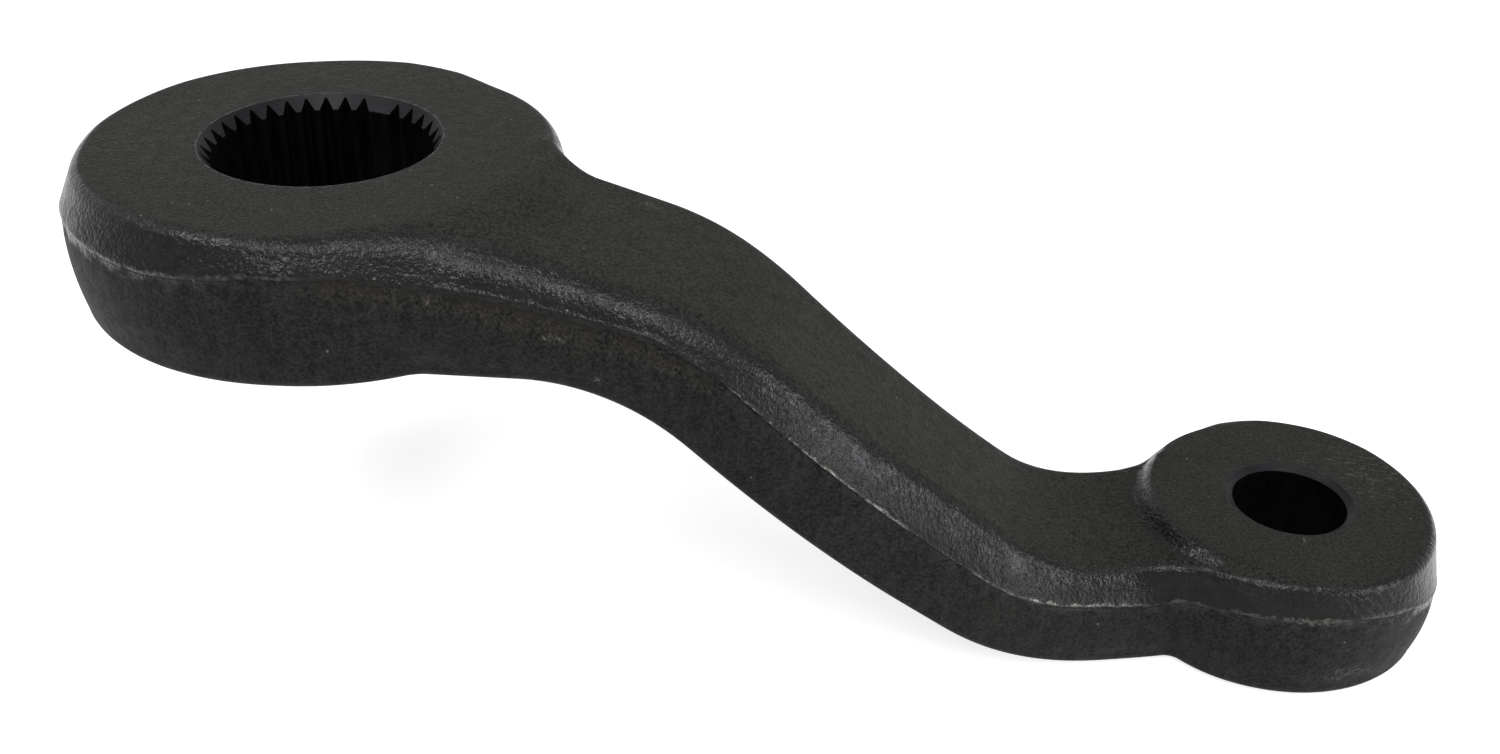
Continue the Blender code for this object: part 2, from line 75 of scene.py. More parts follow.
# Arm edges in plan, from the splined boss to the stud boss, with their corner radius
FAR_EDGE = ((ARM_START + 6.0, 2.9), (ARM_MIDDLE + 8.3, -3.5), (ARM_END, 7.1))
NEAR_EDGE = ((ARM_START, -30.6), (ARM_MIDDLE - 4.4, -34.4), (ARM_END, -21.6))
EDGE_CORNER = 80.0

# Fillets between each edge and each boss. At its foot the near wall has sharper ones of its own.
FAR_BIG_FILLET = 5.7
NEAR_BIG_FILLET = 52.0
NEAR_BIG_FOOT_FILLET = 2.0
FAR_SMALL_FILLET = 11.4
NEAR_SMALL_FILLET = 9.0
NEAR_SMALL_FOOT_FILLET = 1.0

# Side profiles of the arm as x, z, with corner radii
STUD_FOOT = -DROP - SMALL_THICK
TOP_PROFILE = (
    (ARM_START - 20.0, 0.0), (ARM_START + 21.2, -7.5),
    (ARM_END - 2.1, -DROP - 4.9), (BORE_DISTANCE - 8.0, -DROP - 0.7),
)
TOP_CORNERS = (40.0, 26.0)
UNDER_PROFILE = (
    (ARM_START - 20.0, -BIG_THICK - 0.3), (ARM_START + 7.8, -BIG_THICK + 3.5),
    (ARM_END - 8.2, STUD_FOOT + 0.9), (BORE_DISTANCE - 8.0, STUD_FOOT - 0.6),
)
UNDER_CORNERS = (30.0, 40.0)
PARTING_PROFILE = (
    (-BIG_RADIUS, -7.4), (4.4 - BIG_RADIUS, -5.8), (-12.0, -5.6),
    (3.0, -4.0), (13.0, -4.4), (20.5, -6.3),
    (ARM_START + 17.6, -10.5), (ARM_END - 7.8, -DROP - 6.1), (BORE_DISTANCE - 21.0, -DROP - 8.3),
    (BORE_DISTANCE - 8.0, -DROP - 5.5), (BORE_DISTANCE + 8.0, -DROP - 4.3),
    (BORE_DISTANCE + SMALL_RADIUS - 8.1, -DROP - 5.4), (BORE_DISTANCE + SMALL_RADIUS, -DROP - 9.3),
)
PARTING_CORNERS = (10.0, 20.0, 12.0, 10.0, 10.0, 30.0, 25.0, 10.0, 10.0, 10.0, 6.0)

# Flat boss faces as radius, and the width over which the arm blends into each
TOP_BIG_FACE = (BIG_RADIUS - 5.4, 10.0)
TOP_SMALL_FACE = (SMALL_RADIUS - 3.5, 2.0)
UNDER_BIG_FACE = (BIG_RADIUS - 3.9, 3.5)
UNDER_SMALL_FACE = (SMALL_RADIUS - 3.1, 4.0)
ARM_SIDE_RUN = 12.0

# Walls and edges of the splined boss, the arm and the stud boss
LOWER_DRAFTS = (4.8, 4.0, 5.8)
LOWER_BULGES = (0.7, 0.25, 0.5)
TOP_ROUNDS = (2.6, 3.4, 1.6)
UNDER_ROUND = 2.0
WALL_RUN = 30.0
FLASH_PROUD = 0.2
FLASH_HALF_HEIGHT = 0.5

# Draft above the parting, for each boss at azimuths round it
ARM_UPPER_DRAFT = 17.0
BIG_UPPER_DRAFTS = (
    (-180.0, 18.0), (-125.0, 25.0), (-90.0, 27.0), (-40.0, 22.0), (5.0, 8.0),
    (30.0, 15.0), (60.0, 39.0), (95.0, 35.0), (130.0, 27.0), (180.0, 18.0),
)
SMALL_UPPER_DRAFTS = ((-180.0, 4.0), (-90.0, 13.0), (10.0, 12.0), (90.0, 12.0), (180.0, 4.0))
DRAFT_RUN = 12.0
EDGE_REACH = 4.0

# The near side of the arm rolls over more widely. At stations along X: the round, the draft, how far the
# parting lies above the widest line and inside it, and how proud the flash stands.
NEAR_LIMIT = -0.4 * BIG_RADIUS
NEAR_RUN = 8.0
NEAR_STATIONS = (
    ARM_START - 36.0, ARM_START - 24.0, ARM_START - 12.0, ARM_START + 6.0, ARM_START + 20.0,
    ARM_START + 32.0, ARM_START + 44.0, ARM_END - 8.0, ARM_END + 6.0, ARM_END + 16.0,
)
NEAR_ROUNDS = (2.0, 4.0, 7.5, 8.0, 5.5, 3.5, 3.0, 2.6, 2.0, 1.6)
NEAR_DRAFTS = (26.0, 22.0, 15.0, 15.0, 20.0, 27.0, 28.0, 28.0, 24.0, 24.0)
NEAR_DROPS = (0.0, 1.5, 2.6, 2.8, 2.4, 1.0, 0.2, 0.0, 0.0, 0.0)
NEAR_INSETS = (0.0, 0.4, 0.8, 0.8, 0.7, 0.3, 0.0, 0.0, 0.0, 0.0)
NEAR_FLASH = (0.2, 0.2, 0.2, 0.2, 0.3, 0.45, 0.5, 0.5, 0.4, 0.2)

# Splined bore: radii at the upper face
SPLINES = 36
MASTER_AZIMUTH = 77.7
SPLINE_ROOT = 16.63
SPLINE_TIP = SPLINE_ROOT - 1.07
SPLINE_TAPER = 1.5
ROOT_SHARE = 0.05
TIP_SHARE = 0.38
BIG_CHAMFER_RADIUS = SPLINE_ROOT + 0.37
BIG_CHAMFER_SLOPE = 35.5
BIG_BACK_CHAMFER = 1.6

# Stud bore: it opens downwards, where the ball stud enters
STUD_RADIUS = 8.25
STUD_TAPER = 1.0 / 16.0
STUD_CHAMFER_RADIUS = STUD_RADIUS + 1.02
STUD_CHAMFER_DEPTH = 0.74
STUD_BACK_CHAMFER = 0.8

# How far the cutters stand out of the faces that they cut
OVERSHOOT = 1.5

# Bulge of the near side between its widest line and the flash
ROLL_BULGE = 0.04

# Fineness of the visible mesh
BIG_SEGMENTS = 220
SMALL_SEGMENTS = 140
FILLET_SEGMENTS = 14
EDGE_SEGMENTS = 96
STEP_SEGMENTS = 26
STEP_START = ARM_END + 2.0
UNDER_SEGMENTS = 6
WALL_SEGMENTS = 10
ROUND_SEGMENTS = 12
CAP_ROWS = (0.7, 1.5, 2.4)
CAP_GAP = 1.05
BORE_STEPS = 288

# Edges turned by more than this many degrees look sharp
SHARP_ANGLE = 32.0

# A bore's face belongs to a chamfer where its normal's Z is more than this
CHAMFER_LEAN = 0.3

# The top counts less as a flat face where its own normal's Z is under this, by this factor
STEEP_FACE = 0.74
STEEP_LOSS = 2.5

# Colours of the coat, in linear light
WARM_FACE = (0.0110, 0.0105, 0.0092, 1.0)
PLAIN_WALL = (0.0105, 0.0104, 0.0096, 1.0)
COOL_WALL = (0.0092, 0.0096, 0.0098, 1.0)
BROWN_BAND = (0.0150, 0.0138, 0.0118, 1.0)
PALE_RIDGE = (0.0950, 0.0920, 0.0860, 1.0)
BARE_MARK = (0.0900, 0.0850, 0.0770, 1.0)
ROLLED_SHEEN = (0.0174, 0.0178, 0.0184, 1.0)

# Dark and light streaks of the bores and of their chamfers. The bores' near-black tones are painted
# shade, for the shade deep inside them.
BORE_SHADE_TONES = ((0.0003, 0.0003, 0.0004, 1.0), (0.0014, 0.0015, 0.0018, 1.0))
CHAMFER_TONES = ((0.0030, 0.0033, 0.0040, 1.0), (0.0075, 0.0082, 0.0098, 1.0))

# Specular level of each finish
COAT_SPECULAR = 0.10
BORE_SPECULAR = 0.02
CHAMFER_SPECULAR = 0.11

# Stage and light, in metres and watts
FLOOR_LEVEL = -0.0656
FLOOR_HALF = 3.0
FLOOR_COLOUR = (0.5, 0.5, 0.5, 1.0)
FLOOR_GLOW = 0.8
ROOM_LIGHT = 0.25
LAMP_TARGET = (0.065, -0.005, -0.03)
LAMP_DISTANCE = 0.75

# Width and height of the photo in pixels
PHOTO_SIZE = (1500, 754)

# Pale worn marks: the photo's pixel, the half size along each axis in mm and how bare the mark is
MARKS = (
    ((650, 205), (1.3, 0.9, 1.0), 0.30),
    # The next is only a faint pale patch on the splined boss's rim.
    ((550, 138), (3.0, 1.5, 1.0), 0.15),
    ((428, 301), (0.45, 0.45, 0.45), 1.0),
    ((530, 302), (0.40, 0.40, 0.40), 0.9),
    ((552, 340), (1.6, 1.0, 0.55), 0.5),
    ((600, 380), (1.1, 0.9, 0.45), 0.5),
    ((1315, 623), (3.6, 1.5, 0.60), 0.7),
    ((1350, 673), (3.4, 3.0, 1.2), 0.45),
    ((1305, 540), (0.30, 1.0, 0.5), 0.6),
)

# Zones of fine scratches on the boss faces: the place, the half size along each axis and how bare
SCRATCHED = (
    ((BORE_DISTANCE + 12.0, 10.5, -DROP), (7.0, 9.0, 1.5), 0.5),
    ((-24.0, -6.0, 0.0), (8.0, 12.0, 1.5), 0.25),
    ((-6.0, 26.0, 0.0), (12.0, 5.0, 1.5), 0.2),
)

# Each lamp: name, azimuth and elevation in degrees, width and power
LAMPS = (
    ("left_softbox", -160.0, 55.0, 0.26, 2.8),
    ("front_softbox", -90.0, 50.0, 0.30, 3.1),
    ("right_softbox", -24.0, 15.0, 0.38, 3.6),
    ("top_softbox", -35.0, 67.0, 0.22, 0.9),
)

# Camera: the photo's view
CAMERA_PLACE = (85.16, -210.21, 92.77)
CAMERA_RIGHT = (0.9915, 0.1265, 0.0307)
CAMERA_DOWN = (0.0909, -0.5039, -0.8590)
CAMERA_LENS = 39.82
SENSOR_WIDTH = 36.0


def arc(centre, radius, start, turn, segments):
    """Points of an arc in plan, both ends included. Angles in radians."""
    angle = start + turn * np.linspace(0.0, 1.0, segments + 1)
    return np.stack([centre[0] + radius * np.cos(angle), centre[1] + radius * np.sin(angle)], 1)


def short_turn(start, end):
    """The turn from one angle to another the short way round, in radians."""
    return (end - start + math.pi) % (2.0 * math.pi) - math.pi


def angle_of(vector):
    return math.atan2(vector[1], vector[0])


def unit(vector):
    return vector / np.linalg.norm(vector)


def rounded(points, corners, segments=24):
    """A polyline with each inner corner replaced by an arc of its own radius."""
    points = [np.array(point, float) for point in points]
    last = len(points) - 2
    line = [points[:1]]
    for index, radius in enumerate(corners):
        before, corner, after = points[index:index + 3]
        room_back = np.linalg.norm(before - corner) * (0.9 if index == 0 else 0.5)
        room_ahead = np.linalg.norm(after - corner) * (0.9 if index + 1 == last else 0.5)
        back = unit(before - corner)
        ahead = unit(after - corner)
        half = 0.5 * math.acos(float(np.clip(back @ ahead, -1.0, 1.0)))
        reach = min(radius / math.tan(half), room_back, room_ahead)
        radius = reach * math.tan(half)
        centre = corner + unit(back + ahead) * radius / math.sin(half)
        start = angle_of(corner + back * reach - centre)
        turn = short_turn(start, angle_of(corner + ahead * reach - centre))
        line.append(arc(centre, radius, start, turn, segments))
    line.append(points[-1:])
    return np.concatenate(line)


def fillet_centre(boss, boss_radius, edge, inner, outward, radius):
    """Centre of the fillet that touches the boss circle and the edge's first segment."""
    along = unit(inner - edge)
    start = edge + outward * radius - boss
    toward = start @ along
    reach = math.sqrt(toward**2 - start @ start + (boss_radius + radius) ** 2)
    return edge + outward * radius + along * (reach - toward)


def side_fillets(edge, side, big_radius, small_radius):
    """Fillet centres and edge normals of one arm edge, at the splined and the stud boss."""
    found = []
    ends = (
        (np.array(BIG_CENTRE), BIG_RADIUS, edge[0], edge[1], big_radius, side),
        (np.array(SMALL_CENTRE), SMALL_RADIUS, edge[-1], edge[-2], small_radius, -side),
    )
    for boss, boss_radius, first, inner, radius, hand in ends:
        along = unit(inner - first)
        outward = hand * np.array([-along[1], along[0]])
        centre = fillet_centre(boss, boss_radius, first, inner, outward, radius)
        found.append((centre, outward))
    return found


def edge_run(edge, start, end):
    """The edge between its two fillets at even stations, closer beside the step at the stud boss."""
    inner = edge[(edge[:, 0] > start[0] + 0.5) & (edge[:, 0] < end[0] - 0.5)]
    run = np.concatenate([[start], inner, [end]])
    length = np.append(0.0, np.cumsum(np.linalg.norm(np.diff(run, axis=0), axis=1)))
    split = np.interp(STEP_START, run[:, 0], length)
    wide = np.linspace(0.0, split, EDGE_SEGMENTS + 1)
    close = np.linspace(split, length[-1], STEP_SEGMENTS + 1)
    stations = np.concatenate([wide, close[1:]])
    return np.stack([np.interp(stations, length, run[:, axis]) for axis in (0, 1)], 1)


def outline(near_big_radius, near_small_radius):
    """Closed plan outline, counter-clockwise from the stud boss's near side."""
    big = np.array(BIG_CENTRE)
    small = np.array(SMALL_CENTRE)
    far = rounded(FAR_EDGE, (EDGE_CORNER,))
    near = rounded(NEAR_EDGE, (EDGE_CORNER,))
    (far_big, out_fb), (far_small, out_fs) = side_fillets(far, 1, FAR_BIG_FILLET, FAR_SMALL_FILLET)
    near_fillets = side_fillets(near, -1, near_big_radius, near_small_radius)
    (near_big, out_nb), (near_small, out_ns) = near_fillets
    far_run = edge_run(far, far_big - out_fb * FAR_BIG_FILLET, far_small - out_fs * FAR_SMALL_FILLET)
    near_start = near_big - out_nb * near_big_radius
    near_end = near_small - out_ns * near_small_radius
    near_run = edge_run(near, near_start, near_end)

    def concave(centre, radius, first, last):
        start = angle_of(first)
        return arc(centre, radius, start, short_turn(start, angle_of(last)), FILLET_SEGMENTS)

    def convex(centre, radius, first, last, segments):
        start = angle_of(first)
        return arc(centre, radius, start, (angle_of(last) - start) % (2.0 * math.pi), segments)

    chain = [
        convex(small, SMALL_RADIUS, near_small - small, far_small - small, SMALL_SEGMENTS),
        concave(far_small, FAR_SMALL_FILLET, small - far_small, -out_fs)[1:],
        far_run[::-1][1:],
        concave(far_big, FAR_BIG_FILLET, -out_fb, big - far_big)[1:],
        convex(big, BIG_RADIUS, far_big - big, near_big - big, BIG_SEGMENTS)[1:],
        concave(near_big, near_big_radius, big - near_big, -out_nb)[1:],
        near_run[1:],
        concave(near_small, near_small_radius, -out_ns, small - near_small)[1:-1],
    ]
    return np.concatenate(chain)


def outward_normals(line):
    """Unit normals of a closed plan line, away from its inside."""
    tangent = np.roll(line, -1, 0) - np.roll(line, 1, 0)
    tangent /= np.linalg.norm(tangent, axis=1)[:, None]
    return np.stack([tangent[:, 1], -tangent[:, 0]], 1)


def ease(value):
    """A smooth step from 0 to 1."""
    value = np.clip(value, 0.0, 1.0)
    return value * value * (3.0 - 2.0 * value)


def level(plan, profile, big_level, small_level, big_face, small_face):
    """Height of the top or the underside over plan points: flat bosses, arm between them."""
    x = plan[:, 0]
    arm = np.interp(x, profile[:, 0], profile[:, 1])
    from_big = np.hypot(x - BIG_CENTRE[0], plan[:, 1] - BIG_CENTRE[1])
    from_small = np.hypot(x - SMALL_CENTRE[0], plan[:, 1] - SMALL_CENTRE[1])
    big_share = ease((from_big - big_face[0]) / big_face[1]) * ease(x / ARM_SIDE_RUN)
    small_share = ease((from_small - small_face[0]) / small_face[1])
    small_share = small_share * ease((BORE_DISTANCE - x) / ARM_SIDE_RUN)
    at_big = big_level + (arm - big_level) * big_share
    at_small = small_level + (arm - small_level) * small_share
    return np.where(x < 0.5 * BORE_DISTANCE, at_big, at_small)


def top_level(plan):
    """Height of the top over plan points."""
    return level(plan, rounded(TOP_PROFILE, TOP_CORNERS), 0.0, -DROP, TOP_BIG_FACE, TOP_SMALL_FACE)


def under_level(plan):
    """Height of the underside over plan points."""
    profile = rounded(UNDER_PROFILE, UNDER_CORNERS)
    return level(plan, profile, -BIG_THICK, STUD_FOOT, UNDER_BIG_FACE, UNDER_SMALL_FACE)


def by_zone(line, values):
    """A wall dimension along the outline: its boss value, easing into the arm's value."""
    at_big, at_arm, at_small = values
    from_big = np.hypot(line[:, 0] - BIG_CENTRE[0], line[:, 1] - BIG_CENTRE[1]) - BIG_RADIUS
    from_small = np.hypot(line[:, 0] - SMALL_CENTRE[0], line[:, 1] - SMALL_CENTRE[1]) - SMALL_RADIUS
    near_big = at_big + (at_arm - at_big) * ease(from_big / WALL_RUN)
    near_small = at_small + (at_arm - at_small) * ease(from_small / WALL_RUN)
    return np.where(line[:, 0] < 0.5 * BORE_DISTANCE, near_big, near_small)


def parting_level(line):
    """Height of the die parting over plan points."""
    profile = rounded(PARTING_PROFILE, PARTING_CORNERS)
    return np.interp(line[:, 0], profile[:, 0], profile[:, 1])


def wander(points, size, seed):
    """Smooth noise from -1 to 1 at each point, with features of about that size in millimetres."""
    shift = Vector((seed * 17.3, seed * 5.1, seed * 9.7))
    return np.array([noise.noise(Vector(point) / size + shift) for point in points])


def smoothed(places, stations, values, run):
    """Values at their stations, interpolated and averaged over the run to each side."""
    shifts = np.linspace(-run, run, 7)
    return np.mean([np.interp(places + shift, stations, values) for shift in shifts], 0)


def near_value(line, values, otherwise):
    """A dimension of the arm's near side at its stations, easing into another value elsewhere."""
    x = line[:, 0]
    near = ease((NEAR_LIMIT - line[:, 1]) / (0.5 * NEAR_RUN))
    near = near * ease((x - NEAR_STATIONS[0]) / NEAR_RUN)
    near = near * ease((NEAR_STATIONS[-1] - x) / NEAR_RUN)
    return otherwise + (smoothed(x, NEAR_STATIONS, values, 0.75 * NEAR_RUN) - otherwise) * near


def upper_drafts(line):
    """Draft above the parting, in degrees."""
    bosses = []
    for centre, table in ((BIG_CENTRE, BIG_UPPER_DRAFTS), (SMALL_CENTRE, SMALL_UPPER_DRAFTS)):
        azimuths, drafts = zip(*table)
        around = np.degrees(np.arctan2(line[:, 1] - centre[1], line[:, 0] - centre[0]))
        bosses.append(smoothed(around, azimuths, drafts, DRAFT_RUN))
    return near_value(line, NEAR_DRAFTS, by_zone(line, (bosses[0], ARM_UPPER_DRAFT, bosses[1])))


def under_rings(line):
    """Rings of the underside's cap edge and the lower wall, from the cap up to below the parting."""
    normal = outward_normals(line)
    slope = np.tan(np.radians(by_zone(line, LOWER_DRAFTS)))
    bottom = under_level(line - normal * (UNDER_ROUND + 1.0))
    widest = parting_level(line) - near_value(line, NEAR_DROPS, 0.0)
    draw = (widest - bottom - UNDER_ROUND) * slope
    rings = []
    for row in CAP_ROWS[::-1]:
        plan = line - normal * (draw + UNDER_ROUND + row)[:, None]
        rings.append(np.column_stack([plan, under_level(plan)]))
    for angle in np.linspace(0.0, 0.5 * math.pi, UNDER_SEGMENTS + 1):
        plan = line - normal * (draw + UNDER_ROUND * (1.0 - math.sin(angle)))[:, None]
        rings.append(np.column_stack([plan, under_level(plan) + UNDER_ROUND * (1.0 - math.cos(angle))]))
    return rings


def top_rings(line):
    """Rings from above the parting up over the rounded edge and a little way onto the top."""
    normal = outward_normals(line)
    draft = np.radians(upper_drafts(line))
    inset = near_value(line, NEAR_INSETS, 0.0)
    parting = parting_level(line)
    radius = near_value(line, NEAR_ROUNDS, by_zone(line, TOP_ROUNDS))
    top = top_level(line - normal * (inset + EDGE_REACH)[:, None])
    radius = np.minimum(radius, 0.85 * (top - parting) / (1.0 - np.sin(draft)))
    draw = inset + (top - parting - radius * (1.0 - np.sin(draft))) * np.tan(draft)
    rings = []
    for share in np.linspace(0.0, 1.0, ROUND_SEGMENTS + 1):
        angle = draft + share * (0.5 * math.pi - draft)
        plan = line - normal * (draw + radius * (np.cos(draft) - np.cos(angle)))[:, None]
        rings.append(np.column_stack([plan, top_level(plan) - radius * (1.0 - np.sin(angle))]))
    edge = draw + radius * np.cos(draft)
    for row in CAP_ROWS:
        plan = line - normal * (edge + row)[:, None]
        rings.append(np.column_stack([plan, top_level(plan)]))
    return rings


def flash_rings(line):
    """The trimmed flash: a low ridge all round the parting, worn away in places."""
    normal = outward_normals(line)
    inset = near_value(line, NEAR_INSETS, 0.0)
    proud = near_value(line, NEAR_FLASH, FLASH_PROUD)
    middle = np.column_stack([line - normal * inset[:, None], parting_level(line)])
    worn = 0.75 + 0.25 * wander(middle, 3.0, 1) + 0.2 * wander(middle, 0.9, 2)
    sway = 0.12 * wander(middle, 4.0, 3) + 0.08 * wander(middle, 1.1, 4)
    rings = []
    for height, share in ((-1.0, 0.0), (-0.4, 0.7), (0.0, 1.0), (0.4, 0.75), (1.0, 0.0)):
        plan = middle[:, :2] + normal * (share * proud * np.clip(worn, 0.1, 1.0))[:, None]
        rings.append(np.column_stack([plan, middle[:, 2] + height * FLASH_HALF_HEIGHT + sway]))
    return rings


def widest_ring(line):
    """The widest line of the near side, where its lower wall starts, below the parting."""
    drop = near_value(line, NEAR_DROPS, 0.0) + 1.6 * FLASH_HALF_HEIGHT
    return np.column_stack([line, parting_level(line) - drop])


def between(low, high, count, bulge, normal):
    """Rings between two others, standing out by the bulge at the middle."""
    shares = np.linspace(0.0, 1.0, count + 1)[1:-1]
    rings = []
    for share in shares:
        ring = low + (high - low) * share
        ring[:, :2] += normal * (bulge * 4.0 * share * (1.0 - share))[:, None]
        rings.append(ring)
    return rings


def inside(points, ring):
    """Which plan points lie inside a closed ring."""
    x = points[:, 0]
    y = points[:, 1]
    count = np.zeros(len(points), int)
    for (x0, y0), (x1, y1) in zip(ring, np.roll(ring, -1, 0)):
        if y0 == y1:
            continue
        crosses = (y0 > y) != (y1 > y)
        count += crosses & (x < x0 + (y - y0) * (x1 - x0) / (y1 - y0))
    return count % 2 == 1


def spaced(points, kept, gap):
    """Those points that are at least the gap away from all the kept ones."""
    far = [np.hypot(*(kept - point).T).min() > gap for point in points]
    return points[np.array(far, bool)]


def cap_points(border, big_face, small_face):
    """Plan points inside a cap: arcs where the bosses blend, and a close grid elsewhere."""
    found = []
    for centre, face, middle in ((BIG_CENTRE, big_face, 0.0), (SMALL_CENTRE, small_face, math.pi)):
        rows = max(4, round(face[1] / 0.35)) if face[1] < 5.0 else 9
        for share in np.linspace(0.0, 1.0, rows):
            radius = face[0] + share * face[1]
            points = arc(centre, radius, middle - 1.5, 3.0, round(3.0 * radius / CAP_GAP))
            found.append(spaced(points[inside(points, border)], border, 0.3))
    found = np.concatenate(found)
    across = np.arange(-BIG_RADIUS, BORE_DISTANCE + SMALL_RADIUS, CAP_GAP)
    along = np.arange(-BIG_RADIUS, BIG_RADIUS, CAP_GAP)
    grid = np.stack(np.meshgrid(across, along), -1)
    grid[1::2, :, 0] += 0.5 * CAP_GAP
    grid = grid.reshape(-1, 2)
    grid = grid[inside(grid, border)]
    for centre, face in ((BIG_CENTRE, big_face), (SMALL_CENTRE, small_face)):
        away = np.hypot(grid[:, 0] - centre[0], grid[:, 1] - centre[1])
        armward = np.abs(grid[:, 0] - 0.5 * BORE_DISTANCE) < abs(centre[0] - 0.5 * BORE_DISTANCE)
        band = (away > face[0] - 0.5) & (away < sum(face) + 0.5) & armward
        grid = grid[~band]
    grid = spaced(grid, border, 0.5 * CAP_GAP)
    return np.concatenate([found, grid])


def add_cap(mesh, ring_verts, ring, surface, big_face, small_face, upward):
    """Closes an end ring with a triangulated cap that follows its surface."""
    inner = cap_points(ring[:, :2], big_face, small_face)
    plan = [Vector(point) for point in ring[:, :2]] + [Vector(point) for point in inner]
    border = [list(range(len(ring)))]
    points, _, faces, origins, _, _ = delaunay_2d_cdt(plan, [], border, 1, 1e-6)
    heights = surface(np.array([[point.x, point.y] for point in points]))
    verts = []
    for point, origin, height in zip(points, origins, heights):
        ring_index = [index for index in origin if index < len(ring)]
        if ring_index:
            verts.append(ring_verts[ring_index[0]])
        else:
            verts.append(mesh.verts.new((point.x * MM, point.y * MM, height * MM)))
    for face in faces:
        corners = [verts[index] for index in face]
        mesh.faces.new(corners if upward else corners[::-1])


def finish_mesh(mesh, name):
    """Makes an object of the scene from an edited mesh."""
    data = bpy.data.meshes.new(name)
    mesh.to_mesh(data)
    mesh.free()
    item = bpy.data.objects.new(name, data)
    bpy.context.scene.collection.objects.link(item)
    return item


def make_blank():
    """The forging before machining, as one closed fine skin."""
    line = outline(NEAR_BIG_FILLET, NEAR_SMALL_FILLET)
    normal = outward_normals(line)
    low = under_rings(outline(NEAR_BIG_FOOT_FILLET, NEAR_SMALL_FOOT_FILLET))
    widest = widest_ring(line)
    middle = flash_rings(line)
    high = top_rings(line)
    none = np.zeros(len(line))
    wall = between(low[-1], widest, WALL_SEGMENTS, by_zone(line, LOWER_BULGES), normal)
    roll = between(widest, middle[0], 3, none + ROLL_BULGE, normal)
    upper = between(middle[-1], high[0], 4, none, normal)
    rings = low + wall + [widest] + roll + middle + upper + high
    mesh = bmesh.new()
    verts = [[mesh.verts.new(Vector(point) * MM) for point in ring] for ring in rings]
    count = len(line)
    for lower, above in zip(verts, verts[1:]):
        for index in range(count):
            after = (index + 1) % count
            mesh.faces.new((lower[index], lower[after], above[after], above[index]))
    add_cap(mesh, verts[-1], rings[-1], top_level, TOP_BIG_FACE, TOP_SMALL_FACE, True)
    add_cap(mesh, verts[0], rings[0], under_level, UNDER_BIG_FACE, UNDER_SMALL_FACE, False)
    loose = [vert for vert in mesh.verts if not vert.link_faces]
    bmesh.ops.delete(mesh, geom=loose, context="VERTS")
    return finish_mesh(mesh, "forging")


def turned(name, profile, centre):
    """A closed body turned about Z, from a profile that runs from its top to its bottom on the axis."""
    mesh = bmesh.new()
    rows = []
    for radius, height in profile:
        if radius == 0.0:
            rows.append([mesh.verts.new((centre * MM, 0.0, height * MM))])
            continue
        turn = np.linspace(0.0, 2.0 * math.pi, BORE_STEPS, endpoint=False)
        rows.append([
            mesh.verts.new((
                (centre + radius * math.cos(t)) * MM, radius * math.sin(t) * MM, height * MM,
            ))
            for t in turn
        ])
    for upper, lower in zip(rows, rows[1:]):
        for index in range(BORE_STEPS):
            after = (index + 1) % BORE_STEPS
            if len(upper) == 1:
                mesh.faces.new((upper[0], lower[index], lower[after]))
            elif len(lower) == 1:
                mesh.faces.new((upper[index], lower[0], upper[after]))
            else:
                mesh.faces.new((upper[index], lower[index], lower[after], upper[after]))
    return finish_mesh(mesh, name)


def splined_core():
    """The splined bore without its grooves, with both chamfers."""
    slope = math.tan(math.radians(BIG_CHAMFER_SLOPE))
    taper = math.tan(math.radians(SPLINE_TAPER))
    depth = (BIG_CHAMFER_RADIUS - SPLINE_TIP) / slope
    bottom_tip = SPLINE_TIP - taper * BIG_THICK
    profile = (
        (0.0, OVERSHOOT),
        (BIG_CHAMFER_RADIUS + slope * OVERSHOOT, OVERSHOOT),
        (SPLINE_TIP - taper * depth, -depth),
        (bottom_tip, -BIG_THICK + BIG_BACK_CHAMFER),
        (bottom_tip + BIG_BACK_CHAMFER + OVERSHOOT, -BIG_THICK - OVERSHOOT),
        (0.0, -BIG_THICK - OVERSHOOT),
    )
    return turned("splined_core", profile, 0.0)


def stud_core():
    """The tapered stud bore with both chamfers."""
    slope = (STUD_CHAMFER_RADIUS - STUD_RADIUS) / STUD_CHAMFER_DEPTH
    wide = STUD_RADIUS + STUD_TAPER * (SMALL_THICK - STUD_CHAMFER_DEPTH - STUD_BACK_CHAMFER)
    profile = (
        (0.0, -DROP + OVERSHOOT),
        (STUD_CHAMFER_RADIUS + slope * OVERSHOOT, -DROP + OVERSHOOT),
        (STUD_RADIUS, -DROP - STUD_CHAMFER_DEPTH),
        (wide, STUD_FOOT + STUD_BACK_CHAMFER),
        (wide + STUD_BACK_CHAMFER + OVERSHOOT, STUD_FOOT - OVERSHOOT),
        (0.0, STUD_FOOT - OVERSHOOT),
    )
    return turned("stud_core", profile, BORE_DISTANCE)


def groove_section(shrink):
    """Plan points of all the spline grooves joined in one star, less the groove of the master land."""
    pitch = 2.0 * math.pi / SPLINES
    depth = SPLINE_ROOT - SPLINE_TIP
    inner = SPLINE_TIP - 0.25 * depth
    inner_share = TIP_SHARE + 0.25 * (TIP_SHARE - ROOT_SHARE)
    points = []
    for index in range(SPLINES):
        middle = math.radians(MASTER_AZIMUTH) + index * pitch
        if index == 0:
            corners = ((-inner_share, inner), (0.0, inner), (inner_share, inner))
        else:
            corners = ((-inner_share, inner), (-ROOT_SHARE, SPLINE_ROOT),
                       (ROOT_SHARE, SPLINE_ROOT), (inner_share, inner))
        for share, radius in corners:
            angle = middle + share * pitch
            points.append(((radius - shrink) * math.cos(angle), (radius - shrink) * math.sin(angle)))
    return points


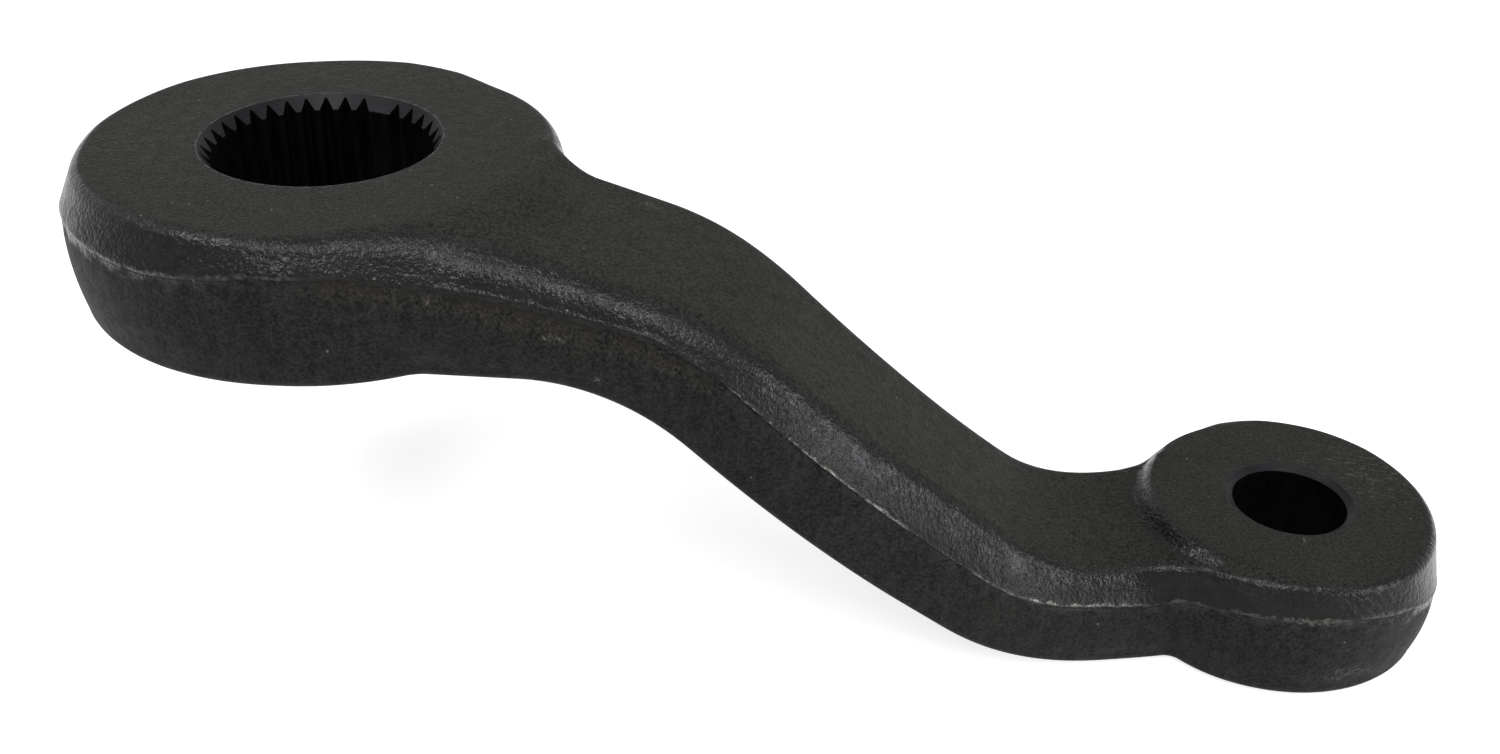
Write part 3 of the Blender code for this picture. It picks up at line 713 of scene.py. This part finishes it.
def spline_cutter():
    """The grooves: a tapered loft between the star at the top and the star at the bottom."""
    taper = math.tan(math.radians(SPLINE_TAPER))
    mesh = bmesh.new()
    rows = []
    for height in (-BIG_THICK - OVERSHOOT, OVERSHOOT):
        points = groove_section(-taper * height)
        rows.append([mesh.verts.new((x * MM, y * MM, height * MM)) for x, y in points])
    low, high = rows
    count = len(low)
    for index in range(count):
        after = (index + 1) % count
        mesh.faces.new((low[index], low[after], high[after], high[index]))
    mesh.faces.new(low[::-1])
    mesh.faces.new(high)
    bmesh.ops.triangulate(mesh, faces=mesh.faces[:])
    return finish_mesh(mesh, "spline_grooves")


def machine(blank):
    """Cuts both bores, and returns the result as a new object."""
    cutters = [splined_core(), spline_cutter(), stud_core()]
    for cutter in cutters:
        difference = blank.modifiers.new("Cut", "BOOLEAN")
        difference.operation = "DIFFERENCE"
        difference.solver = "EXACT"
        difference.object = cutter
    graph = bpy.context.evaluated_depsgraph_get()
    data = bpy.data.meshes.new_from_object(blank.evaluated_get(graph))
    data.name = "pitman_arm_forging"
    item = bpy.data.objects.new("pitman_arm_forging", data)
    bpy.context.scene.collection.objects.link(item)
    for spent in [blank] + cutters:
        bpy.data.objects.remove(spent, do_unlink=True)
    return item


def face_normals(points, surface):
    """Upward normals of the top's or the underside's own surface over the points."""
    step = 0.2
    here = surface(points[:, :2])
    slope_x = (surface(points[:, :2] + (step, 0.0)) - here) / step
    slope_y = (surface(points[:, :2] + (0.0, step)) - here) / step
    normals = np.stack([-slope_x, -slope_y, np.ones(len(points))], 1)
    return normals / np.linalg.norm(normals, axis=1)[:, None]


def place_value(data, name, values):
    """Stores one number for each vertex, for the materials to read."""
    data.attributes.new(name, "FLOAT", "POINT").data.foreach_set("value", values.astype(np.float32))


def camera_axes():
    """The camera's right, up and back directions."""
    right = Vector(CAMERA_RIGHT).normalized()
    up = -Vector(CAMERA_DOWN)
    up = (up - right * up.dot(right)).normalized()
    return right, up, right.cross(up)


def photo_marks(arm):
    """The worn marks, each at the point of the part, in mm, that the photo shows it at."""
    tree = BVHTree.FromObject(arm, bpy.context.evaluated_depsgraph_get())
    right, up, back = camera_axes()
    width, height = PHOTO_SIZE
    focal = CAMERA_LENS / SENSOR_WIDTH * width
    found = []
    for (x, y), half_size, bareness in MARKS:
        ray = right * (x - 0.5 * width) - up * (y - 0.5 * height) - back * focal
        place = tree.ray_cast(Vector(CAMERA_PLACE) * MM, ray.normalized())[0]
        found.append((place / MM, half_size, bareness))
    return found


def finish(arm):
    """Gives the coat, the bores and the chamfers their materials, and the coat its place values."""
    data = arm.data
    data.materials.clear()
    for material in (coat(photo_marks(arm)), bore_shade_finish(), chamfer_finish()):
        data.materials.append(material)
    count = len(data.vertices)
    points = np.empty(3 * count, np.float32)
    data.vertices.foreach_get("co", points)
    points = points.reshape(-1, 3) / MM
    normals = np.empty(3 * count, np.float32)
    data.vertices.foreach_get("normal", normals)
    normals = normals.reshape(-1, 3)
    top = face_normals(points, top_level)
    under = face_normals(points, under_level)
    steepness = np.maximum(STEEP_FACE - top[:, 2], 0.0)
    at_top = (normals * top).sum(1) - STEEP_LOSS * steepness
    squareness = np.maximum(at_top, -(normals * under).sum(1))
    place_value(data, "above_parting", points[:, 2] - parting_level(points))
    place_value(data, "squareness", squareness)
    bores = ((0.0, BIG_CHAMFER_RADIUS, 0.0), (BORE_DISTANCE, STUD_CHAMFER_RADIUS, -DROP))
    for face in data.polygons:
        place = face.center / MM
        for middle, radius, upper_face in bores:
            if math.hypot(place.x - middle, place.y) < radius and place.z < upper_face - 0.02:
                face.material_index = 2 if abs(face.normal.z) > CHAMFER_LEAN else 1


class Graph:
    """Short calls for the nodes of one material."""

    def __init__(self, name):
        self.material = bpy.data.materials.new(name)
        self.material.use_nodes = True
        self.nodes = self.material.node_tree.nodes
        self.links = self.material.node_tree.links
        self.shader = self.nodes["Principled BSDF"]
        where = self.nodes.new("ShaderNodeTexCoord").outputs["Object"]
        self.mm = self.vector("SCALE", where, scale=1.0 / MM)

    def put(self, socket, value):
        """Links a socket to another, or sets it to a plain value."""
        if isinstance(value, bpy.types.NodeSocket):
            self.links.new(value, socket)
        elif value is not None:
            socket.default_value = value

    def vector(self, operation, first, second=None, scale=None):
        node = self.nodes.new("ShaderNodeVectorMath")
        node.operation = operation
        self.put(node.inputs[0], first)
        self.put(node.inputs[1], second)
        if scale is not None:
            self.put(node.inputs["Scale"], scale)
        return node.outputs["Value" if operation == "LENGTH" else "Vector"]

    def math(self, operation, first, second=None):
        node = self.nodes.new("ShaderNodeMath")
        node.operation = operation
        self.put(node.inputs[0], first)
        self.put(node.inputs[1], second)
        return node.outputs["Value"]

    def product(self, first, *others):
        for other in others:
            first = self.math("MULTIPLY", first, other)
        return first

    def total(self, first, *others):
        for other in others:
            first = self.math("ADD", first, other)
        return first

    def ramp(self, value, low, high, at_low=0.0, at_high=1.0):
        """A smooth step between two values, which may also fall."""
        node = self.nodes.new("ShaderNodeMapRange")
        node.interpolation_type = "SMOOTHSTEP"
        self.put(node.inputs["Value"], value)
        self.put(node.inputs["From Min"], low)
        self.put(node.inputs["From Max"], high)
        self.put(node.inputs["To Min"], at_low)
        self.put(node.inputs["To Max"], at_high)
        return node.outputs["Result"]

    def swing(self, pattern, size):
        """A noise pattern as a value that runs from minus to plus the size."""
        return self.ramp(pattern, 0.3, 0.7, -size, size)

    def noise(self, scale, detail, rough, stretch=None):
        """Noise with its scale in features per mm."""
        node = self.nodes.new("ShaderNodeTexNoise")
        self.put(node.inputs["Scale"], scale)
        self.put(node.inputs["Detail"], detail)
        self.put(node.inputs["Roughness"], rough)
        place = self.mm if stretch is None else self.vector("MULTIPLY", self.mm, stretch)
        self.put(node.inputs["Vector"], place)
        return node.outputs["Fac"]

    def mix(self, share, first, second):
        """The first colour where the share is 0 and the second where it is 1."""
        node = self.nodes.new("ShaderNodeMix")
        node.data_type = "RGBA"
        self.put(node.inputs["Factor"], share)
        self.put(node.inputs["A"], first)
        self.put(node.inputs["B"], second)
        return node.outputs["Result"]

    def bump(self, height, distance, strength, below=None):
        """A bump with its distance in mm, on top of another one or of the plain surface."""
        node = self.nodes.new("ShaderNodeBump")
        self.put(node.inputs["Distance"], distance * MM)
        self.put(node.inputs["Height"], height)
        self.put(node.inputs["Strength"], strength)
        self.put(node.inputs["Normal"], below)
        return node.outputs["Normal"]

    def combine(self, value):
        """One value on all three axes."""
        node = self.nodes.new("ShaderNodeCombineXYZ")
        for axis in "XYZ":
            self.put(node.inputs[axis], value)
        return node.outputs["Vector"]

    def attribute(self, name):
        node = self.nodes.new("ShaderNodeAttribute")
        node.attribute_name = name
        return node.outputs["Fac"]

    def along(self, axis):
        """The place along one of the part's axes, in mm."""
        node = self.nodes.new("ShaderNodeSeparateXYZ")
        self.put(node.inputs["Vector"], self.mm)
        return node.outputs[axis]

    def specks(self, scale, share, size):
        """Small round spots in a random share of the cells of a pattern."""
        node = self.nodes.new("ShaderNodeTexVoronoi")
        self.put(node.inputs["Scale"], scale)
        self.put(node.inputs["Vector"], self.mm)
        parts = self.nodes.new("ShaderNodeSeparateColor")
        self.put(parts.inputs["Color"], node.outputs["Color"])
        chosen = self.math("GREATER_THAN", parts.outputs["Red"], 1.0 - share)
        return self.product(self.ramp(node.outputs["Distance"], size, 0.5 * size), chosen)

    def spot(self, place, half_size, ragged):
        """A ragged spot round a place, with a half size along each axis in mm."""
        shift = self.vector("DIVIDE", self.vector("SUBTRACT", self.mm, place), half_size)
        return self.ramp(self.total(self.vector("LENGTH", shift), ragged), 1.0, 0.6)


def parting_ridge(g, above, along, pebbles):
    """The pale, broken line of the parting: clear on the arm, faint on the bosses."""
    sway = g.swing(g.noise(0.7, 3.0, 0.6), 0.25)
    away = g.math("ABSOLUTE", g.total(above, sway))
    gaps = g.ramp(g.noise(0.16, 3.0, 0.6), 0.40, 0.55)
    line = g.product(g.ramp(away, 0.36, 0.1), gaps, g.ramp(pebbles, 0.38, 0.55, 0.3, 1.0))
    share = g.math("MAXIMUM", g.ramp(along, 56.0, 66.0), g.ramp(along, 15.0, 5.0, 0.0, 0.45))
    share = g.math("MINIMUM", share, g.ramp(along, 112.0, 126.0, 1.0, 0.5))
    share = g.math("MINIMUM", share, g.ramp(along, -30.0, -18.0, 0.15, 1.0))
    return g.product(line, share)


def worn_marks(g, marks):
    """Where the coat is worn: random specks, the marks that the photo shows and fine scratches."""
    wobble = g.swing(g.noise(1.3, 3.0, 0.6), 0.6)
    broken = g.ramp(g.noise(2.4, 2.0, 0.5), 0.42, 0.58, 0.15, 1.0)
    lines = g.ramp(g.noise(0.9, 3.0, 0.6, (0.35, 2.6, 1.0)), 0.56, 0.66)
    worn = g.product(g.specks(0.45, 0.14, 0.11), 0.8)
    for spots, pattern in ((marks, broken), (SCRATCHED, lines)):
        for place, half_size, bareness in spots:
            mark = g.product(g.spot(place, half_size, wobble), pattern, bareness)
            worn = g.math("MAXIMUM", worn, mark)
    return worn


def coat(marks):
    """Black coat over the forging: matte faces, pebbled rolled edges, smoother lower walls."""
    g = Graph("black_forged_coat")
    above = g.attribute("above_parting")
    along = g.along("X")
    clouds = g.noise(0.09, 3.0, 0.6)
    patches = g.noise(0.5, 3.0, 0.6)
    pebbles = g.noise(1.6, 2.0, 0.55)
    grain = g.noise(2.3, 3.0, 0.7)

    # Where each kind of skin lies, as shares from 0 to 1
    flat = g.ramp(g.attribute("squareness"), 0.86, 0.985)
    wall = g.ramp(g.total(above, g.swing(patches, 1.2)), 0.6, -2.6)
    rolled = g.product(g.math("SUBTRACT", 1.0, flat), g.math("SUBTRACT", 1.0, wall))
    pebbled = g.product(g.ramp(above, -3.9, -2.4), g.ramp(above, 0.3, -0.5),
                        g.ramp(along, 5.0, 14.0), g.ramp(along, 68.0, 56.0))
    # Painted shade: on the lower arm and the stud boss, the rolled edge just above the parting loses its
    # sheen and stays darker, as in a hollow
    painted_hollow_shade = g.product(g.ramp(above, 3.4, 1.2), g.ramp(above, 0.1, 0.4),
                       g.ramp(along, 50.0, 60.0, 0.0, 0.85))
    # The sheen's share, less the painted shade of the hollow
    glint = g.product(rolled, g.ramp(patches, 0.3, 0.7, 0.75, 1.0), g.math("SUBTRACT", 1.0, painted_hollow_shade))
    # Painted side light: a share that lightens the lower walls towards the two ends of the part
    ends = g.math("MAXIMUM", g.ramp(along, -10.0, -32.0), g.ramp(along, 150.0, 163.0))

    # Colour, with each skin over the one before
    tone = g.mix(flat, g.mix(g.ramp(clouds, 0.35, 0.65), COOL_WALL, PLAIN_WALL), WARM_FACE)
    tone = g.mix(glint, tone, ROLLED_SHEEN)
    tone = g.mix(g.product(pebbled, g.ramp(patches, 0.3, 0.6, 0.3, 0.9)), tone, BROWN_BAND)
    tone = g.mix(parting_ridge(g, above, along, pebbles), tone, PALE_RIDGE)
    tone = g.mix(worn_marks(g, marks), tone, BARE_MARK)

    # Light and dark grain, patches and upright streaks, and painted side light that makes the lower
    # walls at both ends of the part lighter
    grains = g.product(g.swing(grain, 0.95), g.ramp(rolled, 0.0, 1.0, 1.0, 0.2))
    blotches = g.product(g.ramp(flat, 1.0, 0.0), g.swing(patches, 0.15))
    streaks = g.product(wall, g.swing(g.noise(0.9, 2.0, 0.5, (1.0, 1.0, 0.1)), 0.2))
    shade = g.total(g.ramp(clouds, 0.3, 0.7, 0.9, 1.06), grains, blotches, streaks,
                    g.product(ends, wall, 0.5))
    g.put(g.shader.inputs["Base Color"], g.vector("MULTIPLY", tone, g.combine(shade)))

    # Gloss and relief
    g.put(g.shader.inputs["Specular IOR Level"], COAT_SPECULAR)
    g.put(g.shader.inputs["Metallic"], g.product(glint, 0.85))
    rough = g.total(g.ramp(rolled, 0.0, 1.0, 0.62, 0.26), g.swing(patches, -0.05))
    g.put(g.shader.inputs["Roughness"], rough)
    waves = g.bump(g.noise(0.35, 2.0, 0.5), 0.25, 0.35)
    strength = g.ramp(g.math("MAXIMUM", rolled, pebbled), 0.0, 1.0, 0.5, 1.0)
    skin = g.bump(pebbles, 0.2, strength, waves)
    g.put(g.shader.inputs["Normal"], g.bump(grain, 0.04, 0.5, skin))
    return g.material


def bore_shade_finish():
    """The dry walls inside the bores, coloured near black as painted shade of their deep recesses."""
    g = Graph("bore_painted_shade")
    streaks = g.noise(1.5, 2.0, 0.5, (1.0, 1.0, 0.12))
    # Painted shade: near-black streaked colour for the inside of the bores
    g.put(g.shader.inputs["Base Color"], g.mix(g.ramp(streaks, 0.35, 0.65), *BORE_SHADE_TONES))
    g.put(g.shader.inputs["Specular IOR Level"], BORE_SPECULAR)
    g.put(g.shader.inputs["Roughness"], 0.6)
    return g.material


def chamfer_finish():
    """The turned chamfers: bluish, with fine concentric tool marks."""
    g = Graph("turned_chamfer")
    marks = g.noise(3.0, 2.0, 0.5, (0.1, 0.1, 3.0))
    g.put(g.shader.inputs["Base Color"], g.mix(g.ramp(marks, 0.35, 0.65), *CHAMFER_TONES))
    g.put(g.shader.inputs["Specular IOR Level"], CHAMFER_SPECULAR)
    g.put(g.shader.inputs["Roughness"], 0.4)
    g.put(g.shader.inputs["Normal"], g.bump(marks, 0.05, 0.5))
    return g.material


def make_floor():
    """A pale floor just under the part, white to the camera, that keeps the part's shadow."""
    data = bpy.data.meshes.new("floor")
    square = ((-1, -1), (1, -1), (1, 1), (-1, 1))
    corners = [(x * FLOOR_HALF, y * FLOOR_HALF, FLOOR_LEVEL) for x, y in square]
    data.from_pydata(corners, [], [(0, 1, 2, 3)])
    item = bpy.data.objects.new("floor", data)
    bpy.context.scene.collection.objects.link(item)
    material = bpy.data.materials.new("pale_floor")
    material.use_nodes = True
    nodes = material.node_tree.nodes
    links = material.node_tree.links
    shader = nodes["Principled BSDF"]
    shader.inputs["Base Color"].default_value = FLOOR_COLOUR
    shader.inputs["Roughness"].default_value = 1.0
    shader.inputs["Specular IOR Level"].default_value = 0.0
    glow = nodes.new("ShaderNodeEmission")
    strength = nodes.new("ShaderNodeMath")
    strength.operation = "MULTIPLY"
    links.new(seen_directly(nodes, links), strength.inputs[0])
    strength.inputs[1].default_value = FLOOR_GLOW
    links.new(strength.outputs["Value"], glow.inputs["Strength"])
    both = nodes.new("ShaderNodeAddShader")
    links.new(shader.outputs["BSDF"], both.inputs[0])
    links.new(glow.outputs["Emission"], both.inputs[1])
    links.new(both.outputs["Shader"], nodes["Material Output"].inputs["Surface"])
    data.materials.append(material)
    return item


def seen_directly(nodes, links):
    """1 for the camera and for reflected and transmitted rays, and 0 for light that falls on things."""
    path = nodes.new("ShaderNodeLightPath")
    result = path.outputs["Is Camera Ray"]
    for name in ("Is Glossy Ray", "Is Transmission Ray"):
        either = nodes.new("ShaderNodeMath")
        either.operation = "MAXIMUM"
        links.new(result, either.inputs[0])
        links.new(path.outputs[name], either.inputs[1])
        result = either.outputs["Value"]
    return result


def light_scene():
    """Four softboxes round the camera's side, under an even white world."""
    world = bpy.data.worlds.new("studio")
    bpy.context.scene.world = world
    world.use_nodes = True
    nodes = world.node_tree.nodes
    links = world.node_tree.links
    back = nodes["Background"]
    back.inputs["Color"].default_value = (1.0, 1.0, 1.0, 1.0)
    strength = nodes.new("ShaderNodeMapRange")
    links.new(seen_directly(nodes, links), strength.inputs["Value"])
    strength.inputs["To Min"].default_value = ROOM_LIGHT
    strength.inputs["To Max"].default_value = 1.0
    links.new(strength.outputs["Result"], back.inputs["Strength"])
    for name, azimuth, elevation, size, power in LAMPS:
        add_lamp(name, math.radians(azimuth), math.radians(elevation), size, power)


def add_lamp(name, azimuth, elevation, size, power):
    """A square lamp on a sphere round the part, facing the part. Angles in radians."""
    lamp = bpy.data.lights.new(name, "AREA")
    lamp.shape = "SQUARE"
    lamp.size = size
    lamp.energy = power
    level = math.cos(elevation)
    away = Vector((level * math.cos(azimuth), level * math.sin(azimuth), math.sin(elevation)))
    item = bpy.data.objects.new(name, lamp)
    item.location = Vector(LAMP_TARGET) + away * LAMP_DISTANCE
    item.rotation_euler = away.to_track_quat("Z", "Y").to_euler()
    bpy.context.scene.collection.objects.link(item)


def place_camera():
    """The camera at the photo's angle."""
    camera = bpy.data.cameras.new("camera")
    camera.sensor_width = SENSOR_WIDTH
    camera.lens = CAMERA_LENS
    item = bpy.data.objects.new("camera", camera)
    turn = Matrix(camera_axes()).transposed()
    item.matrix_world = Matrix.Translation(Vector(CAMERA_PLACE) * MM) @ turn.to_4x4()
    bpy.context.scene.collection.objects.link(item)
    bpy.context.scene.camera = item
    bpy.context.scene.view_settings.view_transform = "Standard"


def main():
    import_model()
    arm = machine(make_blank())
    arm.data.shade_smooth()
    arm.data.set_sharp_from_angle(angle=math.radians(SHARP_ANGLE))
    finish(arm)
    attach(arm, "root")
    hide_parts("pitman_arm")
    make_floor()
    light_scene()
    place_camera()


main()
